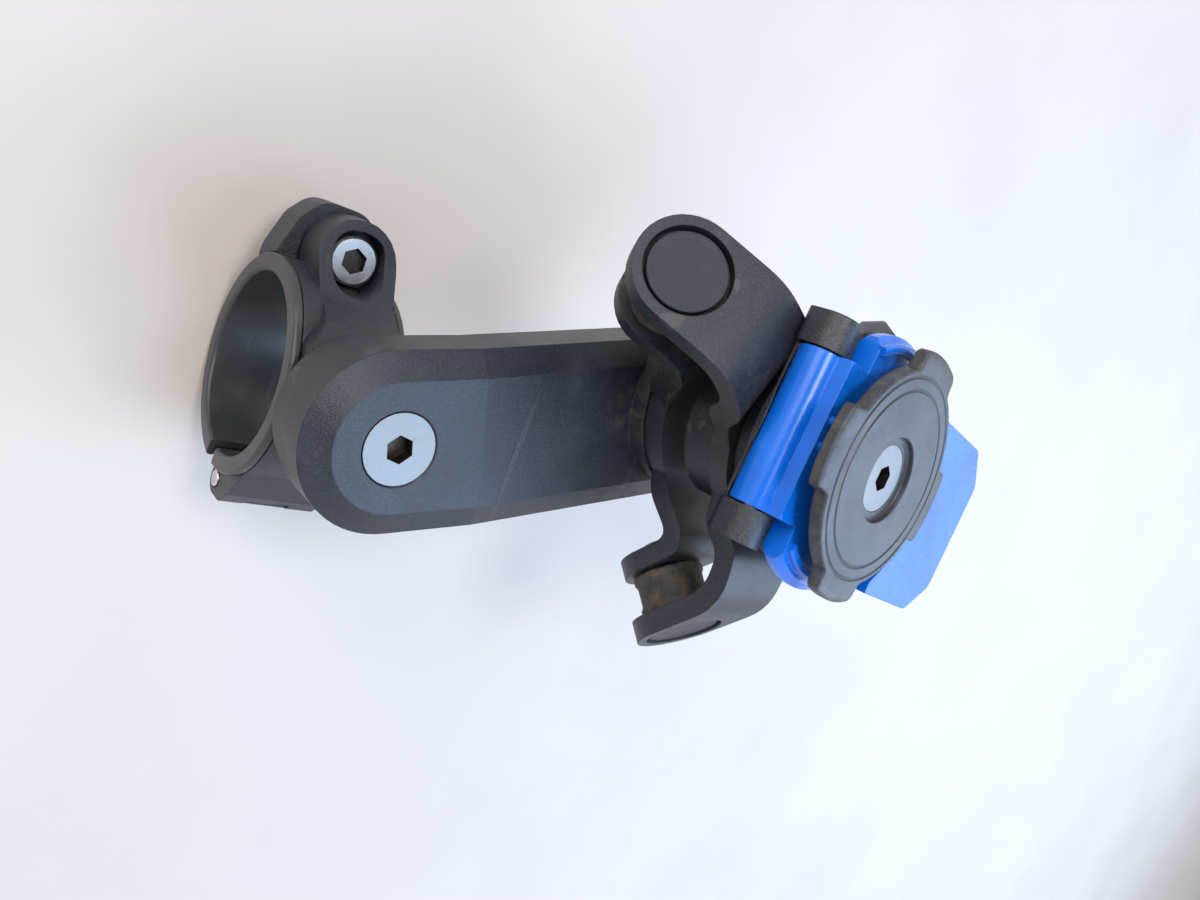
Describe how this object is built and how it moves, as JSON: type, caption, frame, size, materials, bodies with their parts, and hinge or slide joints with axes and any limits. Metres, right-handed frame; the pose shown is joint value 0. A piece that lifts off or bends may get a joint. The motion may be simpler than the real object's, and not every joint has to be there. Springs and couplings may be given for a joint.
{
  "type": "phone mount",
  "caption": "Hinged handlebar clamp with a swinging bent arm, a legged rubber damper and a round twist-lock head with a sprung ring lever",
  "frame": {"origin": "on the handlebar bore's axis, straight below the arm's pivot", "axes": "+X along the handlebar toward the head, +Y from the hinge to the clamp bolt, +Z from the bore out through the arm's pivot"},
  "size_m": [0.124, 0.0755, 0.0956],
  "materials": {
    "nylon": "matte",
    "liner": "satin",
    "disc": "satin",
    "rubber": "matte",
    "steel": "satin",
    "lever": "gloss"
  },
  "bodies": {
    "clamp": {"clamp_front_half": "nylon", "bar_liner": "liner", "hinge_pin": "steel", "arm_nut": "steel", "arm_bolt": "steel"},
    "rear_half": {"clamp_rear_half": "nylon", "clamp_nut": "steel"},
    "bolt": {"clamp_bolt": "steel"},
    "arm": {"arm": "nylon", "damper_bolt": "steel", "damper_nut": "steel", "inner_chassis": "nylon", "grommet_1": "rubber", "grommet_2": "rubber", "grommet_3": "rubber", "grommet_pin_1": "steel", "grommet_pin_2": "steel", "grommet_pin_3": "steel"},
    "floating": {"outer_chassis": "nylon", "lobe_cap_1": "nylon", "lobe_cap_2": "nylon", "lobe_cap_3": "nylon", "head_nut": "steel"},
    "head": {"head_base": "nylon", "twist_disc": "disc", "disc_screw": "steel", "lever_pin": "steel", "lever_spring": "steel"},
    "lever": {"release_lever": "lever"}
  },
  "joints": [
    {"name": "clamp_open", "type": "hinge", "parent": "clamp", "child": "rear_half", "pos_m": [0, -0.0212, -0.0006], "axis": [-1, 0, 0], "range_deg": [0, 50]},
    {"name": "clamp_bolt_out", "type": "slide", "parent": "clamp", "child": "bolt", "axis": [0, 0, 1], "range_m": [0, 0.013]},
    {"name": "arm_swing", "type": "hinge", "parent": "clamp", "child": "arm", "pos_m": [0, 0, 0.03], "axis": [0, 0, 1], "continuous": true},
    {"name": "damper_travel", "type": "slide", "parent": "arm", "child": "floating", "axis": [0.1234, 0.0368, 0.9917], "range_m": [-0.0015, 0.0015], "stiffness_N_per_m": 4000, "deforming": ["grommet_1", "grommet_2", "grommet_3"]},
    {"name": "head_turn", "type": "hinge", "parent": "floating", "child": "head", "pos_m": [0.06133, 0.01828, 0.0371], "axis": [0.1234, 0.0368, 0.9917], "continuous": true},
    {"name": "lever_tilt", "type": "hinge", "parent": "head", "child": "lever", "pos_m": [0.04846, 0.02193, 0.06378], "axis": [0.1615, 0.9852, -0.0567], "range_deg": [0, 6], "stiffness_Nm_per_rad": 0.2, "springref_deg": -6.88, "deforming": ["lever_spring"]}
  ],
  "couplings": [
    {"joint": "clamp_bolt_out", "follows": "clamp_open", "m_per_rad": 0.0145}
  ]
}
